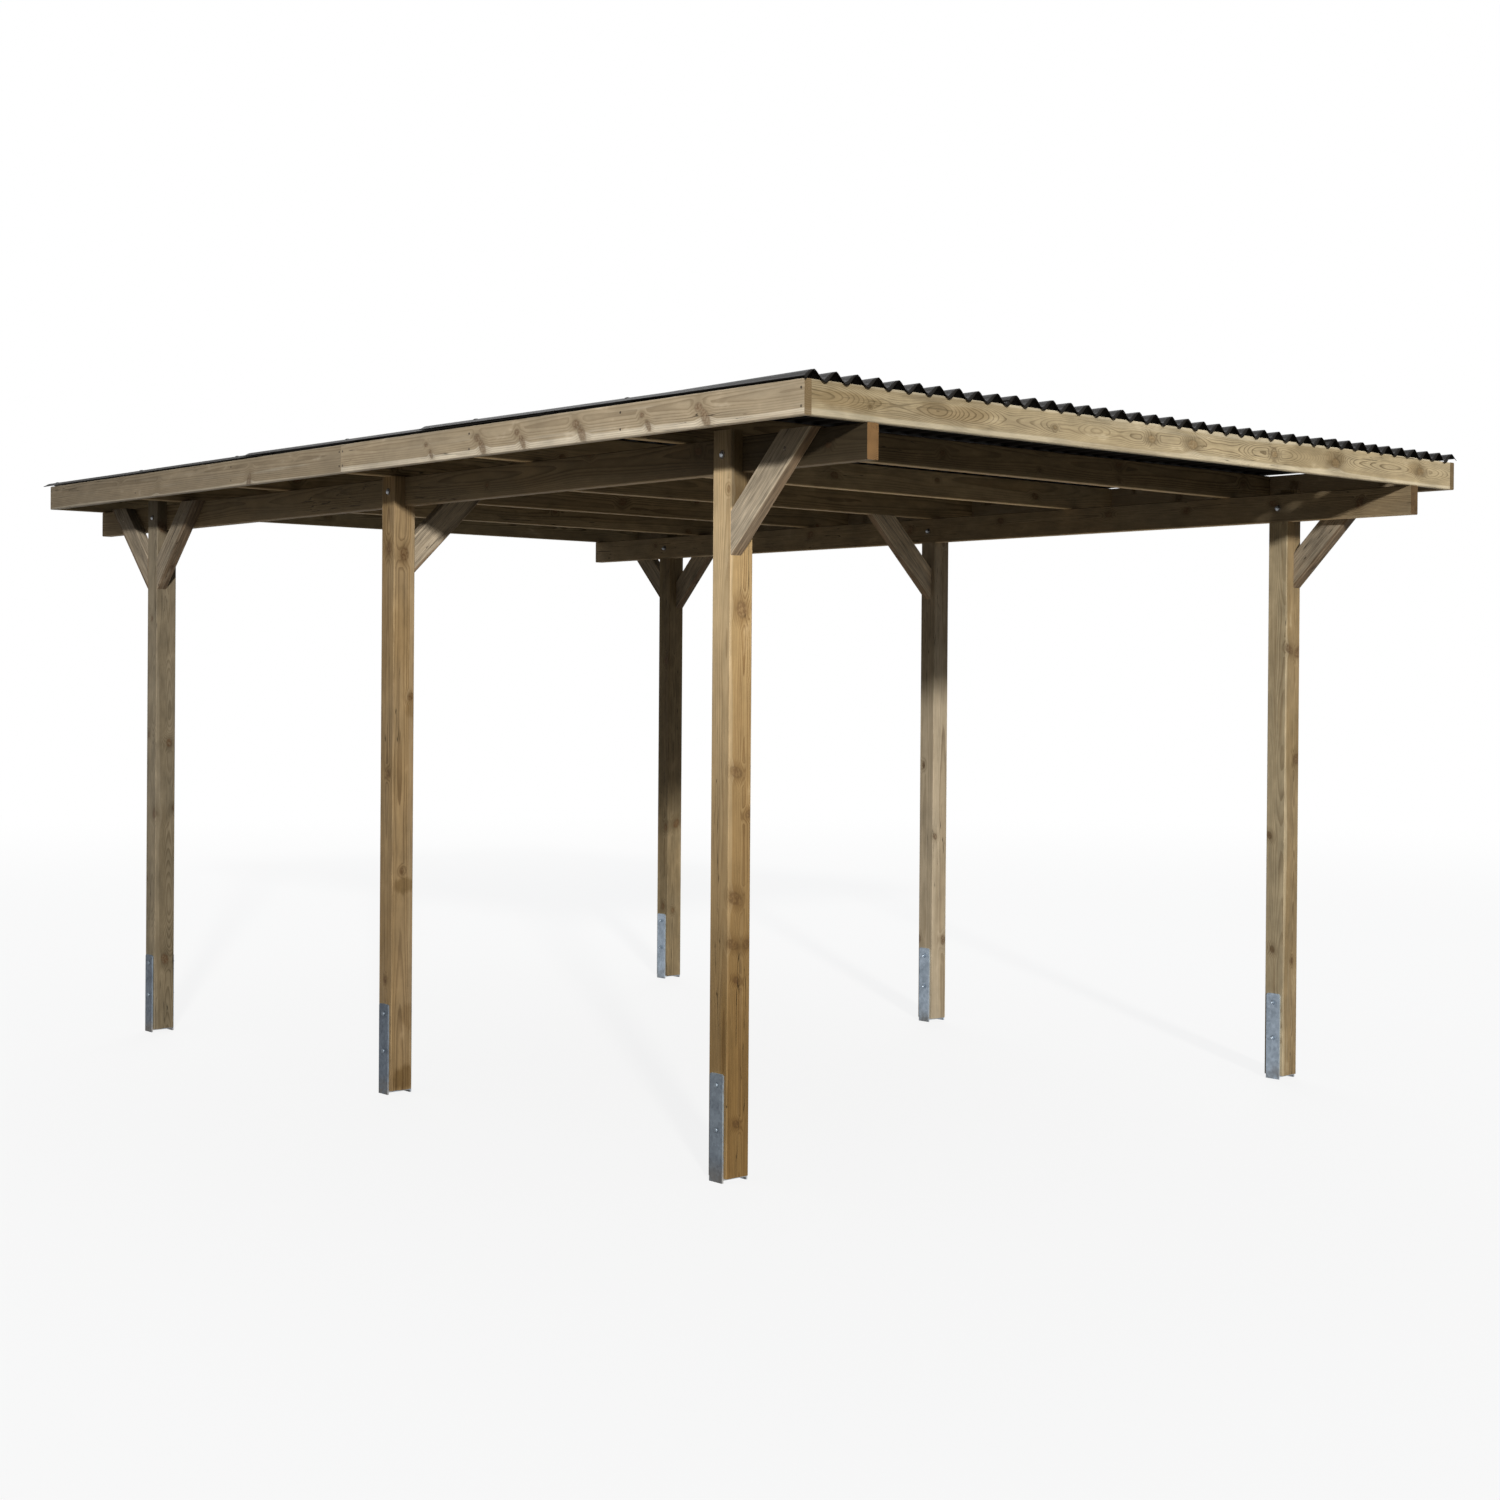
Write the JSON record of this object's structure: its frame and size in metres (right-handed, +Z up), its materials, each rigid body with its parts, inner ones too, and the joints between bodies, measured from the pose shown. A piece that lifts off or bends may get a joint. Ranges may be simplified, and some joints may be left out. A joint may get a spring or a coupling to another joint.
{
  "type": "carport",
  "caption": "Free-standing open timber carport: rebated posts on steel anchors carry purlins, braces, rafters and fascia boards under a flat roof of lapped corrugated sheets.",
  "frame": {"origin": "ground level under the middle of the roof's outline", "axes": "+X across the carport to the right as seen from the front, +Y from front to rear along the purlins, +Z up"},
  "size_m": [3.3378, 5.3201, 2.4664],
  "materials": {
    "post_timber": "pressure-treated softwood, planed, honey brown with knots",
    "frame_timber": "pressure-treated softwood, planed, olive brown",
    "fascia_timber": "pressure-treated softwood board, greyish to yellow-olive",
    "galvanised_steel": "hot-dip galvanised, dull blue-grey",
    "roof_sheet": "black bitumen fibre, matte with a faint sheen"
  },
  "bodies": {
    "root": {"anchor_left_front": "galvanised_steel", "anchor_left_middle": "galvanised_steel", "anchor_left_rear": "galvanised_steel", "anchor_right_front": "galvanised_steel", "anchor_right_middle": "galvanised_steel", "anchor_right_rear": "galvanised_steel", "brace_left_front_forward": "frame_timber", "brace_left_middle_inward": "frame_timber", "brace_left_rear_backward": "frame_timber", "brace_left_rear_forward": "frame_timber", "brace_right_front_forward": "frame_timber", "brace_right_middle_inward": "frame_timber", "brace_right_rear_backward": "frame_timber", "brace_right_rear_forward": "frame_timber", "fascia_front": "fascia_timber", "fascia_left_front": "fascia_timber", "fascia_left_rear": "fascia_timber", "fascia_rear": "fascia_timber", "fascia_right_front": "fascia_timber", "fascia_right_rear": "fascia_timber", "post_left_front": "post_timber", "post_left_middle": "post_timber", "post_left_rear": "post_timber", "post_right_front": "post_timber", "post_right_middle": "post_timber", "post_right_rear": "post_timber", "purlin_left": "frame_timber", "purlin_right": "frame_timber", "rafter_1": "frame_timber", "rafter_2": "frame_timber", "rafter_3": "frame_timber", "rafter_4": "frame_timber", "rafter_5": "frame_timber", "roof_sheet_front_1": "roof_sheet", "roof_sheet_front_2": "roof_sheet", "roof_sheet_front_3": "roof_sheet", "roof_sheet_front_4": "roof_sheet", "roof_sheet_middle_1": "roof_sheet", "roof_sheet_middle_2": "roof_sheet", "roof_sheet_middle_3": "roof_sheet", "roof_sheet_middle_4": "roof_sheet", "roof_sheet_rear_1": "roof_sheet", "roof_sheet_rear_2": "roof_sheet", "roof_sheet_rear_3": "roof_sheet", "roof_sheet_rear_4": "roof_sheet"}
  },
  "joints": []
}
